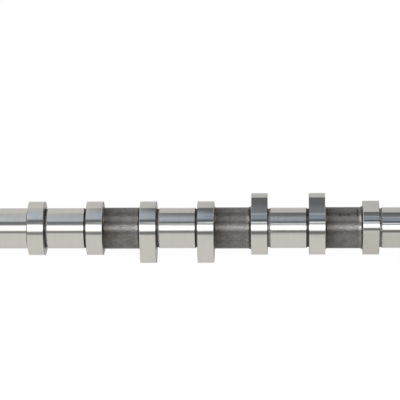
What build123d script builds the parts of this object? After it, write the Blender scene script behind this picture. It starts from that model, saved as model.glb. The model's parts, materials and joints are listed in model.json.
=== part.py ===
from build123d import *

import os
from math import acos, cos, radians, sin, tan

# One-piece cast camshaft for a four-cylinder twin-cam engine. Each cylinder has two cams with a
# bearing journal between them, and the cast shaft is left bare between the cylinders.
# The origin is the centre of the sprocket face. +X runs along the shaft to its rear end, and
# +Z is up as the shaft lies on its cams. Lengths are in millimetres and angles in degrees.

# Spacing along the shaft: the cams and journals repeat at one pitch, except that the first
# cylinder's journal, which also takes the thrust, is longer and sets its first cam forward
cylinder_count = 4
cylinder_pitch = 82.0
front_journal_length = 34.7
front_relief_width = 0.6
thrust_journal_length = 28.4
journal_length = 27.7
lead_relief_width = 1.55
trail_relief_width = 1.25
cam_width = 12.0
rear_spigot_length = 14.0

# Cams: a base circle, a nose arc, and two flank arcs that run tangent into both
base_circle_diameter = 39.8
cam_lift = 6.0
nose_radius = 13.6
flank_radius = 65.0
cam_edge_chamfer = 0.2

# Phasing: nose directions are turned about +X, from +Y towards +Z
firing_order = (1, 3, 4, 2)
first_nose_angle = -48.0

# Bearing journals, and the undercuts beside them that the grinding wheel runs out into: each has
# a flat floor that ends at the cam, and a 45 degree wall up to the journal
journal_diameter = 30.0
relief_depth = 0.75
front_relief_depth = 0.4

# Bare bays between the cylinders, with the mould's fillets: one size at the front of each bay,
# and at the rear a length and a height for each bay
bare_diameter = 30.5
bay_front_fillet = 1.5
bay_rear_fillets = ((1.7, 1.7), (2.8, 1.8), (2.8, 1.8))

# Sprocket end: tapped hole for an M12 bolt, and a dowel hole beside it to set the timing
sprocket_face_chamfer = 1.0
bolt_drill_diameter = 10.5
bolt_drill_depth = 36.0
bolt_mouth_diameter = 14.0
dowel_hole_diameter = 5.0
dowel_hole_depth = 9.0
dowel_mouth_diameter = 5.8
dowel_offset = 10.0
dowel_lead = 90.0

# Rear end: short turned spigot with the centre hole that the shaft is ground on
rear_spigot_diameter = 24.0
rear_spigot_chamfer = 1.0
centre_hole_diameter = 5.0
centre_hole_depth = 10.0
centre_mouth_diameter = 9.0

# Angles of the tools that make every hole
drill_point_angle = 118.0
countersink_angle = 60.0

# Worked out from the values above
journal_radius = journal_diameter / 2
relief_radius = journal_radius - relief_depth
front_relief_radius = journal_radius - front_relief_depth
bare_radius = bare_diameter / 2
base_radius = base_circle_diameter / 2
rear_spigot_radius = rear_spigot_diameter / 2
nose_offset = base_radius + cam_lift - nose_radius
journal_lengths = [thrust_journal_length] + [journal_length] * (cylinder_count - 1)
relief_widths = lead_relief_width + trail_relief_width
first_cam_face = front_journal_length + front_relief_width
first_rear_cam_face = first_cam_face + cam_width + relief_widths + thrust_journal_length
rear_cam_faces = [first_rear_cam_face + index * cylinder_pitch for index in range(cylinder_count)]
bare_length = cylinder_pitch - journal_length - relief_widths - 2 * cam_width
last_cam_end = rear_cam_faces[-1] + cam_width
shaft_length = last_cam_end + rear_spigot_length
firing_interval = 360 / cylinder_count


def nose_angle(cylinder):
    """Direction of both cam noses of a cylinder, numbered from 1 at the sprocket end."""
    return first_nose_angle + firing_order.index(cylinder) * firing_interval


def cam_section(face, angle):
    """Outline of a cam on the plane of its front face, with its nose at the given angle."""
    # Each flank circle holds the base and nose circles and touches both from inside, so the
    # three centres make a triangle of known sides.
    to_base = flank_radius - base_radius
    to_nose = flank_radius - nose_radius
    at_base = acos((to_base**2 + nose_offset**2 - to_nose**2) / (2 * to_base * nose_offset))
    at_nose = acos((to_nose**2 + nose_offset**2 - to_base**2) / (2 * to_nose * nose_offset))
    base_end = (-base_radius * cos(at_base), base_radius * sin(at_base))
    nose_end = (nose_offset + nose_radius * cos(at_nose), nose_radius * sin(at_nose))
    nose_direction = (0, cos(radians(angle)), sin(radians(angle)))
    with BuildSketch(Plane((face, 0, 0), x_dir=nose_direction, z_dir=(1, 0, 0))) as section:
        with BuildLine():
            ThreePointArc((nose_end[0], -nose_end[1]), (nose_offset + nose_radius, 0), nose_end)
            RadiusArc(nose_end, base_end, -flank_radius)
            ThreePointArc(base_end, (-base_radius, 0), (base_end[0], -base_end[1]))
            RadiusArc((base_end[0], -base_end[1]), (nose_end[0], -nose_end[1]), -flank_radius)
        make_face()
    return section.sketch


def plain_section(start, length, radius):
    """Half-section of a plain length of shaft."""
    with BuildSketch() as section:
        with Locations((start, 0)):
            Rectangle(length, radius, align=(Align.MIN, Align.MIN))
    return section.sketch


def journal_section(start, length, front_chamfer, rear_chamfer):
    """Half-section of a ground journal, with a 45 degree chamfer at each end."""
    end = start + length
    with BuildSketch() as section:
        with BuildLine():
            Polyline(
                (start, 0),
                (start, journal_radius - front_chamfer),
                (start + front_chamfer, journal_radius),
                (end - rear_chamfer, journal_radius),
                (end, journal_radius - rear_chamfer),
                (end, 0),
                close=True,
            )
        make_face()
    return section.sketch


def bay_section(start, rear_length, rear_height):
    """Half-section of a bare bay, swept up to the cam at each end."""
    end = start + bare_length
    front_top = (start, bare_radius + bay_front_fillet)
    front_foot = (start + bay_front_fillet, bare_radius)
    rear_foot = (end - rear_length, bare_radius)
    rear_top = (end, bare_radius + rear_height)
    with BuildSketch() as section:
        with BuildLine():
            Spline(front_top, front_foot, tangents=((0, -1), (1, 0)))
            Line(front_foot, rear_foot)
            Spline(rear_foot, rear_top, tangents=((1, 0), (0, 1)))
            Polyline(rear_top, (end, 0), (start, 0), front_top)
        make_face()
    return section.sketch


def drill_section(mouth_plane, diameter, depth, mouth_diameter):
    """Half-section of a countersunk blind hole, drilled along the plane's X axis."""
    radius = diameter / 2
    mouth_radius = mouth_diameter / 2
    mouth_depth = (mouth_radius - radius) / tan(radians(countersink_angle / 2))
    point_length = radius / tan(radians(drill_point_angle / 2))
    with BuildSketch(mouth_plane) as section:
        with BuildLine():
            Polyline(
                (0, 0),
                (0, mouth_radius),
                (mouth_depth, radius),
                (depth, radius),
                (depth + point_length, 0),
                close=True,
            )
        make_face()
    return section.sketch


with BuildPart() as camshaft:
    # Cams: their rims are chamfered while they are the only edges there are
    for index, rear_face in enumerate(rear_cam_faces):
        front_face = rear_face - journal_lengths[index] - relief_widths - cam_width
        for face in (front_face, rear_face):
            extrude(cam_section(face, nose_angle(index + 1)), amount=cam_width)
    chamfer(camshaft.faces().filter_by(Axis.X).edges(), length=cam_edge_chamfer)

    # Shaft: one turned section that runs through every cam
    with BuildSketch() as shaft_section:
        add(journal_section(0, front_journal_length, sprocket_face_chamfer, front_relief_depth))
        add(plain_section(front_journal_length, front_relief_width, front_relief_radius))
        for rear_face, length in zip(rear_cam_faces, journal_lengths):
            trail_relief = rear_face - trail_relief_width
            journal_start = trail_relief - length
            lead_relief = journal_start - lead_relief_width
            add(plain_section(lead_relief - cam_width, cam_width, relief_radius))
            add(plain_section(lead_relief, lead_relief_width, relief_radius))
            add(journal_section(journal_start, length, relief_depth, relief_depth))
            add(plain_section(trail_relief, trail_relief_width, relief_radius))
            add(plain_section(rear_face, cam_width, relief_radius))
        for rear_face, (fillet_length, fillet_height) in zip(rear_cam_faces, bay_rear_fillets):
            add(bay_section(rear_face + cam_width, fillet_length, fillet_height))
        add(plain_section(last_cam_end, rear_spigot_length, rear_spigot_radius))
        spigot_corner = shaft_section.vertices().group_by(Axis.X)[-1].sort_by(Axis.Y)[-1]
        chamfer(spigot_corner, length=rear_spigot_chamfer)
    revolve(axis=Axis.X)

    # Sprocket bolt hole
    bolt_section = drill_section(
        Plane.XY, bolt_drill_diameter, bolt_drill_depth, bolt_mouth_diameter
    )
    revolve(bolt_section, axis=Axis.X, mode=Mode.SUBTRACT)

    # Dowel hole, set ahead of the first cylinder's noses
    dowel_turn = radians(nose_angle(1) + dowel_lead)
    dowel_mouth = (0, dowel_offset * cos(dowel_turn), dowel_offset * sin(dowel_turn))
    dowel_section = drill_section(
        Plane(dowel_mouth), dowel_hole_diameter, dowel_hole_depth, dowel_mouth_diameter
    )
    revolve(dowel_section, axis=Axis(dowel_mouth, (1, 0, 0)), mode=Mode.SUBTRACT)

    # Rear centre hole, drilled back towards the sprocket end
    rear_face = Plane(origin=(shaft_length, 0, 0), x_dir=(-1, 0, 0), z_dir=(0, 0, 1))
    centre_section = drill_section(
        rear_face, centre_hole_diameter, centre_hole_depth, centre_mouth_diameter
    )
    revolve(centre_section, axis=Axis.X, mode=Mode.SUBTRACT)

camshaft.part.label = "camshaft"
os.makedirs("parts", exist_ok=True)
export_step(camshaft.part, "parts/camshaft.step")
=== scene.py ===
import json
from math import acos, cos, hypot, pi, radians, sin, tan

import bpy
from mathutils import Matrix, Vector


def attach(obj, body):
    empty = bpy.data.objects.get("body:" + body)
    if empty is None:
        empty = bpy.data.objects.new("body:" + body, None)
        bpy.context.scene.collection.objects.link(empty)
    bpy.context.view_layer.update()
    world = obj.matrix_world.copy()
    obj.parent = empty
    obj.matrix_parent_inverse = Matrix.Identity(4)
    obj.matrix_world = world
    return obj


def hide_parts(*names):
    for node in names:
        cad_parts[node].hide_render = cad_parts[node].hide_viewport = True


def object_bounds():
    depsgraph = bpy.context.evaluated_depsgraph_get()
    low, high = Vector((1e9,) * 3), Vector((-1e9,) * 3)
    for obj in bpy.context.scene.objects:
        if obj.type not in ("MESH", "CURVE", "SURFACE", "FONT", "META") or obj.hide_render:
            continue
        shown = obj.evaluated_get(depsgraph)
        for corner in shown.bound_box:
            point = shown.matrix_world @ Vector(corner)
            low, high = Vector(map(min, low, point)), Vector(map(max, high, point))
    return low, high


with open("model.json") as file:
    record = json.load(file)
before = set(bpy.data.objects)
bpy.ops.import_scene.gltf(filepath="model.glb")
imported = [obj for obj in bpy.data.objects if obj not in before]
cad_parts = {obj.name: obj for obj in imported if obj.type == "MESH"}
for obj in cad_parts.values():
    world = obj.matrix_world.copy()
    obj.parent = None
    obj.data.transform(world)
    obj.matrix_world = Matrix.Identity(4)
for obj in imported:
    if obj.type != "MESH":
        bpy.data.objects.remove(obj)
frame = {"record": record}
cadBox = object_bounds()
mm = 0.001
mergeDistance = 0.002 * mm
smoothAngle = radians(35)

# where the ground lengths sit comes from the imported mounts
mounts = {mount["name"]: mount for mount in frame["record"]["mounts"]}
bearings = [mounts["bearing_" + str(n)] for n in (1, 2, 3, 4)]
journalCentres = [bearing["pos_m"][0] for bearing in bearings]
groundLengths = [bearing["dims"]["length_mm"] * mm for bearing in bearings]
journalRadius = bearings[0]["dims"]["r_mm"] * mm
frontGround = mounts["front_bearing"]["dims"]["length_mm"] * mm
frontGroundEnd = mounts["front_bearing"]["pos_m"][0] + frontGround / 2
shaftEnd = mounts["rear_centre"]["pos_m"][0]
boltRadius = mounts["sprocket_bolt"]["dims"]["r_mm"] * mm
dowelPlace = mounts["sprocket_dowel"]["pos_m"]
dowelRadius = mounts["sprocket_dowel"]["dims"]["r_mm"] * mm
centreMouth = mounts["rear_centre"]["dims"]["r_mm"] * mm


def deselectAll():
    if bpy.context.object and bpy.context.object.mode != "OBJECT":
        bpy.ops.object.mode_set(mode="OBJECT")
    bpy.ops.object.select_all(action="DESELECT")


def makeActive(obj):
    deselectAll()
    obj.select_set(True)
    bpy.context.view_layer.objects.active = obj


def editMode(obj):
    makeActive(obj)
    bpy.ops.object.mode_set(mode="EDIT")


def objectMode():
    bpy.ops.object.mode_set(mode="OBJECT")


def applyPlace(obj):
    makeActive(obj)
    bpy.ops.object.transform_apply(location=True, rotation=True, scale=True)


def mergeAll():
    bpy.ops.mesh.select_all(action="SELECT")
    bpy.ops.mesh.remove_doubles(threshold=mergeDistance)


def closeMesh(obj):
    editMode(obj)
    mergeAll()
    bpy.ops.mesh.normals_make_consistent(inside=False)
    objectMode()


# outlines are drawn from one point, by extruding it and spinning it about arc centres
def startPoint(name, x, y):
    deselectAll()
    bpy.ops.mesh.primitive_plane_add(size=mm, location=(x, y, 0))
    obj = bpy.context.object
    obj.name = name
    applyPlace(obj)
    bpy.ops.object.mode_set(mode="EDIT")
    bpy.ops.mesh.select_all(action="SELECT")
    bpy.ops.mesh.merge(type="CENTER")
    bpy.ops.mesh.select_mode(type="VERT")
    return obj


def lineTo(pen, x, y):
    bpy.ops.mesh.extrude_region_move(
        TRANSFORM_OT_translate={"value": (x - pen[0], y - pen[1], 0)})
    pen[0], pen[1] = x, y


def arcRound(pen, centre, turn, steps):
    # turn is in radians, from +X towards +Y
    bpy.ops.mesh.spin(steps=steps, angle=-turn, center=(centre[0], centre[1], 0), axis=(0, 0, 1))
    x, y = pen[0] - centre[0], pen[1] - centre[1]
    pen[0] = centre[0] + x * cos(turn) - y * sin(turn)
    pen[1] = centre[1] + x * sin(turn) + y * cos(turn)


def turnRound(sides):
    bpy.ops.mesh.select_all(action="SELECT")
    bpy.ops.mesh.spin(steps=sides, angle=2 * pi, center=(0, 0, 0), axis=(1, 0, 0))


def combine(obj, other, operation):
    makeActive(obj)
    cut = obj.modifiers.new(operation.lower(), "BOOLEAN")
    cut.operation = operation
    cut.solver = "EXACT"
    cut.object = other
    bpy.ops.object.modifier_apply(modifier=cut.name)
    bpy.data.objects.remove(other)


turning = {
    "sides": 180,
    "reliefDepth": 0.75 * mm,
    "frontReliefDepth": 0.4 * mm,
    "leadGap": 1.55 * mm,     # flat floor of the undercut before a journal
    "trailGap": 1.25 * mm,    # and of the one behind it
    "bareRadius": 15.25 * mm,
    "frontFillet": 1.5 * mm,
    # length along the shaft and height, bay by bay
    "rearFillets": ((1.7 * mm, 1.7 * mm), (2.8 * mm, 1.8 * mm), (2.8 * mm, 1.8 * mm)),
    "filletSteps": 7,
    "skinStep": 0.6 * mm,     # spacing of the rings that carry the cast skin
    "insideCam": 0.3 * mm,    # how far a fillet runs on inside the cam it meets
    "spigotRadius": 12.0 * mm,
    "endChamfer": 1.0 * mm,
}

holes = {
    "point": radians(118 / 2),
    "countersink": radians(60 / 2),
    "boltDepth": 36.0 * mm,
    "boltMouth": 7.0 * mm,
    "dowelDepth": 9.0 * mm,
    "dowelMouth": 2.9 * mm,
    "dowelSides": 64,
    "centreRadius": 2.5 * mm,
    "centreDepth": 10.0 * mm,
}

# M12 x 1.5, cut outward from the tapping size
thread = {
    "radius": 6.0 * mm,
    "pitch": 1.5 * mm,
    "flank": radians(60 / 2),
    "crestFlat": 0.1875 * mm,
    "overlap": 0.15 * mm,     # how far the cutter reaches into the open hole
    "start": 0.6 * mm,        # where the groove begins, inside the countersink
    "turns": 19,
    "sides": 48,
    "turnedBy": radians(0.75),  # keeps its corners clear of the hole's own
}

camShape = {
    "width": 12.0 * mm,
    "baseRadius": 19.9 * mm,
    "lift": 6.0 * mm,
    "noseRadius": 13.6 * mm,
    "flankRadius": 65.0 * mm,
    "rim": 0.2 * mm,
    "rimSteps": 2,
    "noseAngles": (-48, 222, 42, 132),  # about +X, from +Y towards +Z, cylinder by cylinder
    "arcStep": 2.2,                     # degrees between points on the nose and base arcs
    "flankSteps": 12,
    "endFacing": 0.9,                   # only the two end faces look this far along the axis
}

camStarts = []
for centre, length in zip(journalCentres, groundLengths):
    half = length / 2 + turning["reliefDepth"]
    camStarts.append(centre - half - turning["leadGap"] - camShape["width"])
    camStarts.append(centre + half + turning["trailGap"])
lastCamEnd = camStarts[-1] + camShape["width"]
bays = [(camStarts[2 * index + 1] + camShape["width"], camStarts[2 * index + 2])
        for index in range(len(turning["rearFillets"]))]


def drillTip(radius):
    return radius / tan(holes["point"])


def sinkDepth(mouth, radius):
    return (mouth - radius) / tan(holes["countersink"])


def drawJournal(pen, start, end, chamfer, rearChamfer):
    lineTo(pen, start - chamfer, journalRadius - chamfer)
    lineTo(pen, start, journalRadius)
    lineTo(pen, end, journalRadius)
    lineTo(pen, end + rearChamfer, journalRadius - rearChamfer)


def drawBay(pen, start, end, rearFillet):
    fillet, radius = turning["frontFillet"], turning["bareRadius"]
    inside, steps = turning["insideCam"], turning["filletSteps"]
    lineTo(pen, start - inside, pen[1])
    lineTo(pen, start - inside, radius + fillet)
    lineTo(pen, start, radius + fillet)
    arcRound(pen, (start + fillet, radius + fillet), pi / 2, steps)
    rearLength, rearHeight = rearFillet
    length = end - rearLength - pen[0]
    rings = round(length / turning["skinStep"])
    foot = pen[0]
    for ring in range(rings):
        lineTo(pen, foot + length * (ring + 1) / rings, radius)
    foot = pen[0]
    for step in range(steps):
        turn = pi / 2 * (step + 1) / steps
        lineTo(pen, foot + rearLength * sin(turn), radius + rearHeight * (1 - cos(turn)))
    lineTo(pen, end + inside, radius + rearHeight)
    lineTo(pen, end + inside, journalRadius - turning["reliefDepth"])


def buildShaft():
    relief = turning["reliefDepth"]
    floor = journalRadius - relief
    boltDepth, boltMouth = holes["boltDepth"], holes["boltMouth"]
    centreRadius, centreDepth = holes["centreRadius"], holes["centreDepth"]
    pen = [boltDepth + drillTip(boltRadius), 0]
    body = startPoint("camshaftShaft", pen[0], pen[1])
    lineTo(pen, boltDepth, boltRadius)
    lineTo(pen, sinkDepth(boltMouth, boltRadius), boltRadius)
    lineTo(pen, 0, boltMouth)
    frontStart = frontGroundEnd - frontGround
    drawJournal(pen, frontStart, frontGroundEnd, frontStart, turning["frontReliefDepth"])
    inFirstCam = camStarts[0] + camShape["width"] / 2
    lineTo(pen, inFirstCam, pen[1])
    lineTo(pen, inFirstCam, floor)
    for index, centre in enumerate(journalCentres):
        half = groundLengths[index] / 2
        drawJournal(pen, centre - half, centre + half, relief, relief)
        if index < len(bays):
            drawBay(pen, *bays[index], turning["rearFillets"][index])
    spigotRadius, chamfer = turning["spigotRadius"], turning["endChamfer"]
    inLastCam = camStarts[-1] + camShape["width"] / 2
    lineTo(pen, inLastCam, floor)
    lineTo(pen, inLastCam, spigotRadius)
    lineTo(pen, shaftEnd - chamfer, spigotRadius)
    lineTo(pen, shaftEnd, spigotRadius - chamfer)
    lineTo(pen, shaftEnd, centreMouth)
    lineTo(pen, shaftEnd - sinkDepth(centreMouth, centreRadius), centreRadius)
    lineTo(pen, shaftEnd - centreDepth, centreRadius)
    lineTo(pen, shaftEnd - centreDepth - drillTip(centreRadius), 0)
    turnRound(turning["sides"])
    closeMesh(body)
    return body


def buildDowelDrill():
    depth, mouth = holes["dowelDepth"], holes["dowelMouth"]
    pen = [depth + drillTip(dowelRadius), 0]
    tool = startPoint("dowelDrill", pen[0], pen[1])
    lineTo(pen, depth, dowelRadius)
    lineTo(pen, sinkDepth(mouth, dowelRadius), dowelRadius)
    lineTo(pen, -mm, mouth + mm * tan(holes["countersink"]))
    lineTo(pen, -mm, 0)
    turnRound(holes["dowelSides"])
    closeMesh(tool)
    tool.location = (0, dowelPlace[1], dowelPlace[2])
    applyPlace(tool)
    return tool


def buildTap():
    # a V groove wound down the bolt hole, from the open countersink
    pitch, crest, start = thread["pitch"], thread["radius"], thread["start"]
    inside = boltRadius - thread["overlap"]
    top = thread["crestFlat"] / 2
    foot = top + (crest - inside) * tan(thread["flank"])
    pen = [start - top, crest]
    tool = startPoint("boltTap", pen[0], pen[1])
    lineTo(pen, start + top, crest)
    lineTo(pen, start + foot, inside)
    lineTo(pen, start - foot, inside)
    lineTo(pen, start - top, crest)
    mergeAll()
    makeActive(tool)
    wind = tool.modifiers.new("wind", "SCREW")
    wind.axis = "X"
    wind.screw_offset = pitch
    wind.iterations = thread["turns"]
    wind.steps = wind.render_steps = thread["sides"]
    bpy.ops.object.modifier_apply(modifier=wind.name)
    editMode(tool)
    bpy.ops.mesh.select_all(action="SELECT")
    bpy.ops.mesh.fill_holes(sides=0)
    closeMesh(tool)
    tool.rotation_euler = (thread["turnedBy"], 0, 0)
    applyPlace(tool)
    return tool


def camArcs():
    # how far the nose's centre is out, and where the flank takes over from nose and base
    noseOffset = camShape["baseRadius"] + camShape["lift"] - camShape["noseRadius"]
    toBase = camShape["flankRadius"] - camShape["baseRadius"]
    toNose = camShape["flankRadius"] - camShape["noseRadius"]
    atBase = acos((toBase**2 + noseOffset**2 - toNose**2) / (2 * toBase * noseOffset))
    atNose = acos((toNose**2 + noseOffset**2 - toBase**2) / (2 * toNose * noseOffset))
    return noseOffset, atNose, pi - atBase


def buildCam(name):
    noseOffset, noseTurn, baseStart = camArcs()
    reach = camShape["flankRadius"] - camShape["noseRadius"]
    step = radians(camShape["arcStep"])
    pen = [noseOffset + camShape["noseRadius"], 0]
    flankTurn = baseStart - noseTurn
    baseTurn = 2 * (pi - baseStart)
    cam = startPoint(name, pen[0], pen[1])
    nose, base = (noseOffset, 0), (0, 0)
    leftFlank = (noseOffset - reach * cos(noseTurn), -reach * sin(noseTurn))
    rightFlank = (leftFlank[0], -leftFlank[1])
    noseSteps, baseSteps = round(noseTurn / step), round(baseTurn / step)
    # each arc starts where the last one ended
    arcRound(pen, nose, noseTurn, noseSteps)
    arcRound(pen, leftFlank, flankTurn, camShape["flankSteps"])
    arcRound(pen, base, baseTurn, baseSteps)
    arcRound(pen, rightFlank, flankTurn, camShape["flankSteps"])
    arcRound(pen, nose, noseTurn, noseSteps)
    mergeAll()
    bpy.ops.mesh.edge_face_add()
    bpy.ops.mesh.extrude_region_move(
        TRANSFORM_OT_translate={"value": (0, 0, camShape["width"])})
    bpy.ops.mesh.select_all(action="SELECT")
    bpy.ops.mesh.normals_make_consistent(inside=False)
    bpy.ops.mesh.select_mode(type="FACE")
    bpy.ops.mesh.select_all(action="DESELECT")
    objectMode()
    for face in cam.data.polygons:
        face.select = abs(face.normal.z) > camShape["endFacing"]
    editMode(cam)
    bpy.ops.mesh.region_to_loop()
    bpy.ops.mesh.bevel(offset=camShape["rim"], segments=camShape["rimSteps"], profile=0.5)
    objectMode()
    return cam


def placeCam(cam, start, noseAngle):
    # the outline lies in XY with its nose on +X: stand it up so that its nose is on +Y
    copy = cam.copy()
    copy.data = cam.data.copy()
    bpy.context.scene.collection.objects.link(copy)
    copy.rotation_euler = (pi / 2, 0, pi / 2)
    applyPlace(copy)
    copy.rotation_euler = (radians(noseAngle), 0, 0)
    copy.location = (start, 0, 0)
    applyPlace(copy)
    return copy


camshaft = buildShaft()
print("shaft turned", len(camshaft.data.vertices))
combine(camshaft, buildDowelDrill(), "DIFFERENCE")
combine(camshaft, buildTap(), "DIFFERENCE")
print("dowel hole drilled and bolt hole tapped", len(camshaft.data.vertices))
pattern = buildCam("camPattern")
for index, start in enumerate(camStarts):
    combine(camshaft, placeCam(pattern, start, camShape["noseAngles"][index // 2]), "UNION")
bpy.data.objects.remove(pattern)
camshaft.name = "groundCamshaft"
print("cams joined", len(camshaft.data.vertices), len(camshaft.data.polygons))

castSkin = {
    "lumpSize": 3.0 * mm,
    "lumpDepth": 0.06 * mm,
    "grainSize": 0.9 * mm,
    "grainDepth": 0.03 * mm,
    "octaves": 2,
    "fade": 0.8 * mm,         # the skin dies out over this length before a cam
    "filletReach": 4.0 * mm,  # fillets stay within this height over the bare shaft
    "play": 0.01 * mm,        # counts points on a bay's end walls as part of it
}


def bayOf(place):
    # the bare bay that a point belongs to, if any
    if hypot(place.y, place.z) < turning["bareRadius"] + castSkin["filletReach"]:
        for start, end in bays:
            if start - castSkin["play"] < place.x < end + castSkin["play"]:
                return start, end
    return None


def roughenSkin(obj):
    group = obj.vertex_groups.new(name="castSkin")
    groupName = group.name    # read now, because applying a modifier frees the group
    for vertex in obj.data.vertices:
        bay = bayOf(vertex.co)
        if bay:
            edge = min(vertex.co.x - bay[0], bay[1] - vertex.co.x)
            group.add([vertex.index], min(1, edge / castSkin["fade"]), "REPLACE")
    makeActive(obj)
    for label in ("lump", "grain"):
        clouds = bpy.data.textures.new(label, "CLOUDS")
        clouds.noise_scale = castSkin[label + "Size"]
        clouds.noise_depth = castSkin["octaves"]
        swell = obj.modifiers.new(label, "DISPLACE")
        swell.texture = clouds
        swell.texture_coords = "LOCAL"
        swell.strength = castSkin[label + "Depth"]
        swell.mid_level = 0.5
        swell.vertex_group = groupName
        bpy.ops.object.modifier_apply(modifier=swell.name)
    obj.vertex_groups.clear()


def smoothFaces(obj):
    makeActive(obj)
    bpy.ops.object.shade_smooth_by_angle(angle=smoothAngle)
    even = obj.modifiers.new("even", "WEIGHTED_NORMAL")
    even.keep_sharp = True
    bpy.ops.object.modifier_apply(modifier=even.name)


roughenSkin(camshaft)
smoothFaces(camshaft)
print("cast skin roughened")


def newMaterial(name):
    material = bpy.data.materials.new(name)
    material.use_nodes = True
    nodes = material.node_tree.nodes
    return material, nodes, material.node_tree.links, nodes["Principled BSDF"]


def objectPlace(nodes, links, scale=(1, 1, 1), shift=(0, 0, 0)):
    coords = nodes.new("ShaderNodeTexCoord")
    mapping = nodes.new("ShaderNodeMapping")
    mapping.inputs["Scale"].default_value = scale
    mapping.inputs["Location"].default_value = shift
    links.new(coords.outputs["Object"], mapping.inputs["Vector"])
    return mapping.outputs["Vector"]


def noise(nodes, links, scale, detail, rough):
    # scale is per metre, along each axis
    texture = nodes.new("ShaderNodeTexNoise")
    texture.inputs["Scale"].default_value = 1
    texture.inputs["Detail"].default_value = detail
    texture.inputs["Roughness"].default_value = rough
    links.new(objectPlace(nodes, links, scale), texture.inputs["Vector"])
    return texture.outputs["Fac"]


def spread(nodes, links, source, low, high, fromLow=0.3, fromHigh=0.7):
    # maps a pattern to a range of values
    remap = nodes.new("ShaderNodeMapRange")
    remap.inputs["From Min"].default_value = fromLow
    remap.inputs["From Max"].default_value = fromHigh
    remap.inputs["To Min"].default_value = low
    remap.inputs["To Max"].default_value = high
    links.new(source, remap.inputs["Value"])
    return remap.outputs["Result"]


def mixColours(nodes, links, share, first, second, blend="MIX"):
    # first and second are colours, or what other nodes put out
    mix = nodes.new("ShaderNodeMix")
    mix.data_type = "RGBA"
    mix.blend_type = blend
    for socket, colour in (("A", first), ("B", second)):
        if isinstance(colour, tuple):
            mix.inputs[socket].default_value = colour
        else:
            links.new(colour, mix.inputs[socket])
    links.new(share, mix.inputs["Factor"])
    return mix.outputs["Result"]


def twoTone(nodes, links, pattern, look):
    share = spread(nodes, links, pattern, 0, 1)
    return mixColours(nodes, links, share, look["dark"], look["light"])


def colourRamp(nodes, links, source, stops):
    # stops are places from 0 to 1 with their colours
    node = nodes.new("ShaderNodeValToRGB")
    elements = node.color_ramp.elements
    for index, (place, colour) in enumerate(stops):
        element = elements[index] if index < 2 else elements.new(1)
        element.position = place
        element.color = colour
    links.new(source, node.inputs["Fac"])
    return node.outputs["Color"]


def mathNode(nodes, links, operation, *values):
    node = nodes.new("ShaderNodeMath")
    node.operation = operation
    for socket, value in zip(node.inputs, values):
        if isinstance(value, (int, float)):
            socket.default_value = value
        else:
            links.new(value, socket)
    return node.outputs[0]


def alongShaft(nodes, links):
    split = nodes.new("ShaderNodeSeparateXYZ")
    links.new(objectPlace(nodes, links), split.inputs[0])
    return split.outputs["X"]


def lengthOf(nodes, links, vector):
    node = nodes.new("ShaderNodeVectorMath")
    node.operation = "LENGTH"
    links.new(vector, node.inputs[0])
    return node.outputs["Value"]


def bump(nodes, links, shader, height, depth):
    node = nodes.new("ShaderNodeBump")
    node.inputs["Strength"].default_value = 1
    node.inputs["Distance"].default_value = depth
    links.new(height, node.inputs["Height"])
    links.new(node.outputs["Normal"], shader.inputs["Normal"])


# shares of a mark's half size where it is still whole and where it is gone, and how ragged
# the pattern makes its edge
markEdge = {"whole": 0.8, "gone": 1.5, "ragged": 0.9}


def patch(nodes, links, mark, wobble):
    # 1 in the middle of a mark on the shaft, 0 outside it; wobble breaks up its edge
    x, angle, along, around = mark
    radius = turning["bareRadius"] / mm
    spot = (x, radius * cos(radians(angle)), radius * sin(radians(angle)))
    size = (along, around, around)
    scale = [1 / (half * mm) for half in size]
    shift = [-c / half for c, half in zip(spot, size)]
    reach = lengthOf(nodes, links, objectPlace(nodes, links, scale, shift))
    ragged = mathNode(nodes, links, "MULTIPLY_ADD", wobble, markEdge["ragged"], reach)
    return spread(nodes, links, ragged, 1, 0, markEdge["whole"], markEdge["gone"])


def marked(nodes, links, colour, marks, wobble):
    for mark, tone in marks:
        share = patch(nodes, links, mark, wobble)
        colour = mixColours(nodes, links, share, colour, tone, "MULTIPLY")
    return colour


def groundSteel(name, rough):
    look = {
        "dark": (0.518, 0.494, 0.457, 1),
        "light": (0.538, 0.514, 0.477, 1),
        "edge": (0.78, 0.78, 0.78, 1),
        # patterns: scale along each axis, detail, roughness
        "wheelMarks": ((3500, 40, 40), 3, 0.6),  # fine along X, long round the shaft
        "tone": ((260, 60, 60), 2, 0.5),
        "bump": 0.0015 * mm,
    }
    material, nodes, links, shader = newMaterial(name)
    shader.inputs["Metallic"].default_value = 1
    shader.inputs["Specular Tint"].default_value = look["edge"]
    marks = noise(nodes, links, *look["wheelMarks"])
    tone = noise(nodes, links, *look["tone"])
    links.new(twoTone(nodes, links, tone, look), shader.inputs["Base Color"])
    links.new(spread(nodes, links, marks, *rough), shader.inputs["Roughness"])
    bump(nodes, links, shader, marks, look["bump"])
    return material


def sideFace():
    look = {
        "dark": (0.38, 0.37, 0.36, 1),
        "light": (0.56, 0.546, 0.533, 1),
        "specular": 0.4,
        "grain": ((900, 900, 900), 4, 0.6),
        "rough": (0.5, 0.65),
        "bump": 0.02 * mm,
    }
    material, nodes, links, shader = newMaterial("camSideFace")
    shader.inputs["Metallic"].default_value = 0
    shader.inputs["Specular IOR Level"].default_value = look["specular"]
    grain = noise(nodes, links, *look["grain"])
    links.new(twoTone(nodes, links, grain, look), shader.inputs["Base Color"])
    links.new(spread(nodes, links, grain, *look["rough"]), shader.inputs["Roughness"])
    bump(nodes, links, shader, grain, look["bump"])
    return material


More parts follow.
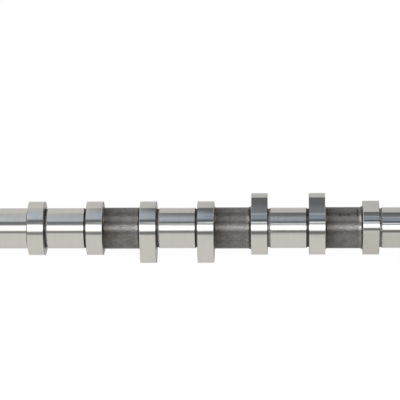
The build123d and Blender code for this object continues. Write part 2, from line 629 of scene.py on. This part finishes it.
def turnedUndercut():
    # the dark base is painted shade down in the undercuts and on the cam rims beside them
    look = {
        "dark": (0.05, 0.048, 0.046, 1),
        "light": (0.11, 0.105, 0.10, 1),
        "edge": (0.5, 0.5, 0.5, 1),
        "toolMarks": ((3000, 60, 60), 3, 0.6),
        "rough": (0.25, 0.4),
        "bump": 0.01 * mm,
        # X in mm, direction in degrees, half size along and around in mm, tone
        "marks": (
            # painted light: lighter rings where the undercut floors in front of journals 3 and 4
            # catch more light
            ((213.1, 90, 0.8, 60), (2.4, 2.4, 2.4, 1)),
            ((295.0, 90, 0.9, 60), (2.3, 2.3, 2.3, 1)),
        ),
    }
    material, nodes, links, shader = newMaterial("turnedUndercut")
    shader.inputs["Metallic"].default_value = 1
    shader.inputs["Specular Tint"].default_value = look["edge"]
    marks = noise(nodes, links, *look["toolMarks"])
    floor = marked(nodes, links, twoTone(nodes, links, marks, look), look["marks"], marks)
    links.new(floor, shader.inputs["Base Color"])
    links.new(spread(nodes, links, marks, *look["rough"]), shader.inputs["Roughness"])
    bump(nodes, links, shader, marks, look["bump"])
    return material


def undercutWall():
    # painted shade darkens the wall down in the undercut, and the rest of it keeps its plain colour
    look = {
        "dark": (0.05, 0.048, 0.046, 1),
        "light": (0.1, 0.096, 0.092, 1),
        "clean": (0.44, 0.425, 0.41, 1),
        "edge": (0.6, 0.6, 0.6, 1),
        "oilTo": 15.2 * mm,
        "cleanFrom": 15.9 * mm,
        "cleanMetal": 0.6,
        "cleanSmoother": -0.15,
        "grain": ((900, 900, 900), 4, 0.6),
        "rough": (0.45, 0.55),
        "bump": 0.004 * mm,
    }
    material, nodes, links, shader = newMaterial("undercutWall")
    shader.inputs["Specular Tint"].default_value = look["edge"]
    grain = noise(nodes, links, *look["grain"])
    reach = lengthOf(nodes, links, objectPlace(nodes, links, (0, 1, 1)))
    clean = spread(nodes, links, reach, 0, 1, look["oilTo"], look["cleanFrom"])
    wall = mixColours(nodes, links, clean, twoTone(nodes, links, grain, look), look["clean"])
    links.new(wall, shader.inputs["Base Color"])
    metal = mathNode(nodes, links, "MULTIPLY", clean, look["cleanMetal"])
    links.new(metal, shader.inputs["Metallic"])
    rough = spread(nodes, links, grain, *look["rough"])
    rough = mathNode(nodes, links, "MULTIPLY_ADD", clean, look["cleanSmoother"], rough)
    links.new(rough, shader.inputs["Roughness"])
    bump(nodes, links, shader, grain, look["bump"])
    return material


def castIron():
    look = {
        "dark": (0.105, 0.099, 0.092, 1),
        "light": (0.228, 0.217, 0.207, 1),
        "film": (0.28, 0.265, 0.24, 1),      # painted shade, darkest at the front end of each bay and again just before the cam behind it
        # share of the bay's length, and how much of the painted shade lies there
        "filmStops": (
            (0.02, 0.85), (0.25, 0.45), (0.6, 0.04), (0.84, 0.12), (0.95, 0.05), (0.975, 0.9),
        ),
        "edge": (0.5, 0.5, 0.5, 1),
        "metal": 0.7,
        "specular": 0.3,
        "grain": ((950, 950, 950), 3, 0.6),
        "blotch": ((170, 170, 170), 2, 0.5),
        "blotchShare": 0.35,
        "toneRange": (0.48, 0.88),
        "rough": (0.3, 0.2),
        "bump": 0.075 * mm,
        # X in mm, direction in degrees, half size along and around in mm, tone
        "marks": (
            ((176.2, 158, 2.0, 9.0), (1, 0.86, 0.72, 1)),
            ((94.5, 165, 5.0, 7.0), (0.95, 0.88, 0.78, 1)),
            ((184.0, 172, 5.0, 6.0), (0.86, 0.84, 0.82, 1)),
            ((265.4, 100, 1.5, 1.5), (0.4, 0.4, 0.38, 1)),
            ((268.5, 101, 1.2, 1.2), (0.4, 0.4, 0.38, 1)),
            ((271.4, 100, 2.2, 1.4), (0.4, 0.4, 0.38, 1)),
            ((278.2, 91, 0.9, 7), (0.45, 0.45, 0.42, 1)),
            # rings at the rear fillets: painted shade where a fillet meets its cam, and painted
            # highlights where the fillet catches the light
            ((117.2, 90, 0.9, 60), (0.35, 0.34, 0.32, 1)),
            ((115.25, 90, 0.45, 60), (1.25, 1.22, 1.18, 1)),
            ((198.9, 90, 1.0, 60), (0.35, 0.34, 0.32, 1)),
            ((196.8, 90, 0.5, 60), (1.25, 1.22, 1.18, 1)),
            ((279.8, 90, 1.2, 60), (1.45, 1.4, 1.36, 1)),
            # painted highlights on the upper side of each bay's front fillet
            ((91.0, 103, 0.9, 9), (3.5, 3.4, 3.3, 1)),
            ((173.0, 103, 0.9, 9), (3.5, 3.4, 3.3, 1)),
            ((255.0, 103, 0.9, 9), (3.5, 3.4, 3.3, 1)),
        ),
    }
    material, nodes, links, shader = newMaterial("castIronSkin")
    shader.inputs["Metallic"].default_value = look["metal"]
    shader.inputs["Specular IOR Level"].default_value = look["specular"]
    shader.inputs["Specular Tint"].default_value = look["edge"]
    grain = noise(nodes, links, *look["grain"])
    blotch = noise(nodes, links, *look["blotch"])
    tone = mathNode(nodes, links, "MULTIPLY_ADD", blotch, look["blotchShare"], grain)
    tone = spread(nodes, links, tone, 0, 1, *look["toneRange"])
    skin = mixColours(nodes, links, tone, look["dark"], look["light"])
    # how far along its bay a point lies, as a share of the bay
    pitch = journalCentres[2] - journalCentres[1]
    along = mathNode(nodes, links, "SUBTRACT", alongShaft(nodes, links), bays[0][0])
    along = mathNode(nodes, links, "MODULO", along, pitch)
    along = mathNode(nodes, links, "DIVIDE", along, bays[0][1] - bays[0][0])
    stops = [(share, (level, level, level, 1)) for share, level in look["filmStops"]]
    # painted shade is laid over the skin's colour by where a point lies along its bay
    film = colourRamp(nodes, links, along, stops)
    skin = mixColours(nodes, links, film, skin, look["film"], "MULTIPLY")
    skin = marked(nodes, links, skin, look["marks"], grain)
    links.new(skin, shader.inputs["Base Color"])
    links.new(spread(nodes, links, grain, *look["rough"]), shader.inputs["Roughness"])
    bump(nodes, links, shader, grain, look["bump"])
    return material


def turnedEnd():
    look = {
        "dark": (0.36, 0.345, 0.33, 1),
        "light": (0.48, 0.465, 0.45, 1),
        "toolMarks": ((2200, 60, 60), 3, 0.6),
        "rough": (0.2, 0.32),
        "bump": 0.01 * mm,
    }
    material, nodes, links, shader = newMaterial("turnedEnd")
    shader.inputs["Metallic"].default_value = 1
    marks = noise(nodes, links, *look["toolMarks"])
    links.new(twoTone(nodes, links, marks, look), shader.inputs["Base Color"])
    links.new(spread(nodes, links, marks, *look["rough"]), shader.inputs["Roughness"])
    bump(nodes, links, shader, marks, look["bump"])
    return material


finishes = {
    "ground": groundSteel("groundSteel", (0.05, 0.09)),
    "side": sideFace(),
    "undercut": turnedUndercut(),
    "cast": castIron(),
    "end": turnedEnd(),
    "gapWall": undercutWall(),
    "worn": groundSteel("wornJournal", (0.11, 0.16)),
}

# limits that tell a face's finish from its place and the way it faces
sorting = {
    "endDepth": 0.9 * mm,     # the sprocket face with its chamfer
    "holeReach": 12.5 * mm,   # all holes lie within this radius
    "filletFacing": 0.995,    # a fillet's last step looks nearly along the shaft
    "wallFacing": 0.98,
    "rimFacing": 0.2,
    "rimClear": 1.5 * mm,     # cam rims stand further than this over the journals
    "slopeFacing": -0.5,      # the slope up to a journal, seen from the front
    "play": 0.1 * mm,         # allowed on the journal's radius and the last cam's end
    "rimReach": 0.22 * mm,    # a cam's rim reaches this far in from its side
}
wornFrom, wornTo = bays[0][1], bays[2][0]

# the sides of the cams that look across an undercut at a journal
gapWalls = [start + camShape["width"] * (index % 2 == 0) for index, start in enumerate(camStarts)]


def besideGap(x):
    return min(abs(x - wall) for wall in gapWalls) <= sorting["rimReach"]


def finishOf(face):
    place, facing = face.center, abs(face.normal.x)
    radius, play = hypot(place.y, place.z), sorting["play"]
    isWall = facing > sorting["wallFacing"]
    isRim = facing > sorting["rimFacing"] and radius > journalRadius + sorting["rimClear"]
    if place.x < sorting["endDepth"] or place.x > lastCamEnd + play:
        return "end"
    if bayOf(place) and facing < sorting["filletFacing"]:
        return "cast"
    if isWall or isRim:
        if not besideGap(place.x):
            return "side"
        return "gapWall" if isWall else "undercut"
    if radius < sorting["holeReach"]:
        return "end"
    if radius < journalRadius - play:
        return "side" if face.normal.x < sorting["slopeFacing"] else "undercut"
    if radius < journalRadius + play and wornFrom < place.x < wornTo:
        return "worn"
    return "ground"


finishSlots = {}
for slot, (name, material) in enumerate(finishes.items()):
    camshaft.data.materials.append(material)
    finishSlots[name] = slot
finishCounts = dict.fromkeys(finishes, 0)
for face in camshaft.data.polygons:
    name = finishOf(face)
    face.material_index = finishSlots[name]
    finishCounts[name] += 1
print("finishes laid on", finishCounts)

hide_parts("camshaft")
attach(camshaft, "root")

# panels of light and dark stand over the shaft; each one has the angles where it starts and
# ends, from the camera's side over the top to the far side, a level, and a warmth
panels = {
    "left": (
        (0, 10.5, 1.02, 0), (17.5, 24, 0.4, -0.4), (34, 55, 2.4, 0), (60, 66, 0.42, -0.9),
        (70.5, 75, 0.27, -1.1), (84, 90, 0.84, -1.1), (95, 112, 0.82, -1.1),
        (122, 136, 0.86, -0.3), (142, 180, 0.98, 0),
    ),
    "middle": (
        (0, 9, 1.02, 0), (17.5, 25, 0.29, -0.5), (37.5, 40, 3, -0.3), (44, 44.5, 4.4, -0.3),
        (48, 51, 3, -0.3), (58, 61, 0.6, -0.5), (63.5, 65.5, 0.95, -0.6), (70, 75, 0.2, -1),
        (84, 99, 0.68, -1.5), (104, 107, 0.6, -1.5), (113, 116, 0.46, -1.3),
        (126, 136, 0.24, -0.9), (141.5, 180, 0.9, -0.1),
    ),
    "right": (
        (0, 9, 0.96, -0.1), (17.5, 26, 0.29, -0.3), (38, 40, 3, -0.5), (44, 44.5, 4.4, -0.5),
        (48, 50.5, 3, -0.5), (57.5, 61, 0.62, -0.7), (63.5, 65.5, 1.45, -0.8),
        (70, 76, 0.2, -1.3), (82, 92, 0.48, -1.6), (95, 97, 0.42, -1.6), (100, 104, 0.62, -1.3),
        (105, 112, 0.33, -1.1), (119, 136, 0.23, -0.7), (142, 180, 0.88, -0.2),
    ),
    "side": (
        (0, 12, 0.55, 0), (18, 27, 0.2, 0), (36, 51, 4.5, 0), (60, 78, 0.2, 0),
        (88, 107, 3, 0), (116, 138, 0.25, 0), (146, 180, 0.5, 0),
    ),
}

studio = {
    "brightest": 4.5,
    # which panels stand where along the shaft: X of the direction, name, gain
    "stations": (
        (-0.9, "side", 0.25), (-0.7, "side", 1.2), (-0.16, "side", 1.1), (-0.13, "left", 1),
        (-0.10, "left", 1), (-0.052, "middle", 1), (-0.046, "middle", 1), (-0.03, "right", 1),
        (0.06, "right", 1), (0.12, "side", 1), (0.3, "side", 0.6), (0.6, "side", 0.3),
    ),
    "warmRed": 0.1,           # what a warmth of 1 adds to red, and takes from blue
    "warmBlue": 0.13,
}


def bandColour(level, warmth):
    share = level / studio["brightest"]
    red, blue = 1 + studio["warmRed"] * warmth, 1 - studio["warmBlue"] * warmth
    return share * red, share, share * blue, 1


def panelRamp(nodes, links, rise, row):
    stops = []
    for start, end, level, warmth in row:
        colour = bandColour(level, warmth)
        stops += [(start / 180, colour), (end / 180, colour)]
    return colourRamp(nodes, links, rise, stops)


def scaleColour(nodes, links, colour, gain):
    node = nodes.new("ShaderNodeVectorMath")
    node.operation = "SCALE"
    links.new(colour, node.inputs[0])
    node.inputs["Scale"].default_value = gain
    return node.outputs[0]


def buildWorld():
    world = bpy.data.worlds.new("studioRoom")
    world.use_nodes = True
    bpy.context.scene.world = world
    nodes, links = world.node_tree.nodes, world.node_tree.links
    coords = nodes.new("ShaderNodeTexCoord")
    split = nodes.new("ShaderNodeSeparateXYZ")
    links.new(coords.outputs["Generated"], split.inputs[0])
    toward = mathNode(nodes, links, "MULTIPLY", split.outputs["Y"], -1)
    rise = mathNode(nodes, links, "ARCTAN2", split.outputs["Z"], toward)
    share = mathNode(nodes, links, "DIVIDE", rise, pi)
    ramps = {name: panelRamp(nodes, links, share, row) for name, row in panels.items()}
    room, reached = None, 0
    for place, name, gain in studio["stations"]:
        panel = scaleColour(nodes, links, ramps[name], gain)
        if room:
            along = spread(nodes, links, split.outputs["X"], 0, 1, reached, place)
            panel = mixColours(nodes, links, along, room, panel)
        room, reached = panel, place
    background = nodes["Background"]
    background.inputs["Strength"].default_value = studio["brightest"]
    links.new(room, background.inputs["Color"])
    white = nodes.new("ShaderNodeBackground")
    white.inputs["Color"].default_value = (1, 1, 1, 1)
    paths = nodes.new("ShaderNodeLightPath")
    mix = nodes.new("ShaderNodeMixShader")
    links.new(paths.outputs["Is Camera Ray"], mix.inputs["Fac"])
    links.new(background.outputs[0], mix.inputs[1])
    links.new(white.outputs[0], mix.inputs[2])
    links.new(mix.outputs[0], nodes["World Output"].inputs["Surface"])


paleFloor = {
    "size": 6,
    "below": 0.02 * mm,
    "colour": (0.86, 0.86, 0.86, 1),
    "rough": 0.9,
    "whiteSeen": 0.98,        # how much of it glows for the camera; the rest takes shadows
    # what reflections see of it changes by these shares between two places along X
    "falloffGain": (0.03, -0.11),
    "falloffPlaces": (255 * mm, 285 * mm),
}


def buildFloor():
    deselectAll()
    low = cadBox[0].z - paleFloor["below"]
    bpy.ops.mesh.primitive_plane_add(size=paleFloor["size"], location=(shaftEnd / 2, 0, low))
    floor = bpy.context.object
    floor.name = "studioFloor"
    applyPlace(floor)
    material, nodes, links, shader = newMaterial("paleFloor")
    shader.inputs["Base Color"].default_value = paleFloor["colour"]
    shader.inputs["Roughness"].default_value = paleFloor["rough"]
    glow = nodes.new("ShaderNodeEmission")
    paths = nodes.new("ShaderNodeLightPath")
    glossy = paths.outputs["Is Glossy Ray"]
    falloff = spread(nodes, links, alongShaft(nodes, links), *paleFloor["falloffGain"],
                     *paleFloor["falloffPlaces"])
    white = mathNode(nodes, links, "MULTIPLY_ADD", falloff, glossy, 1)
    links.new(white, glow.inputs["Strength"])
    plain = mathNode(nodes, links, "ADD", glossy, paths.outputs["Is Transmission Ray"])
    seen = mathNode(nodes, links, "MULTIPLY_ADD", paths.outputs["Is Camera Ray"],
                    paleFloor["whiteSeen"], plain)
    mix = nodes.new("ShaderNodeMixShader")
    links.new(seen, mix.inputs["Fac"])
    links.new(shader.outputs[0], mix.inputs[1])
    links.new(glow.outputs[0], mix.inputs[2])
    links.new(mix.outputs[0], nodes["Material Output"].inputs["Surface"])
    floor.data.materials.append(material)


view = {
    "elevation": radians(42),
    "distance": 1776 * mm,
    "over": 232.3 * mm,       # where the camera's own X lies along the shaft
    "lens": 216,
    "sensor": 36,
    "aimX": 162.0 * mm,       # what lies at the middle of the view
    "aimUp": 20.72 * mm,      # the shaft's axis runs this far below it
    "roll": radians(0.15),
    "clip": (0.05, 50),
}


def buildCamera():
    back = Vector((0, -cos(view["elevation"]), sin(view["elevation"])))
    up = Vector((0, sin(view["elevation"]), cos(view["elevation"])))
    place = Vector((view["over"], 0, 0)) + back * view["distance"]
    target = Vector((view["aimX"], 0, 0)) + up * view["aimUp"]
    ahead = (target - place).normalized()
    right = Vector((1, 0, 0))
    right = (right - ahead * right.dot(ahead)).normalized()
    stand = Matrix((right, right.cross(ahead), -ahead)).transposed().to_4x4()
    bpy.ops.object.camera_add()
    camera = bpy.context.object
    camera.matrix_world = Matrix.Translation(place) @ stand @ Matrix.Rotation(-view["roll"], 4, "Z")
    camera.data.lens = view["lens"]
    camera.data.sensor_width = view["sensor"]
    camera.data.clip_start, camera.data.clip_end = view["clip"]
    bpy.context.scene.camera = camera


buildWorld()
buildFloor()
buildCamera()
bpy.context.scene.view_settings.view_transform = "Standard"
print("studio set")
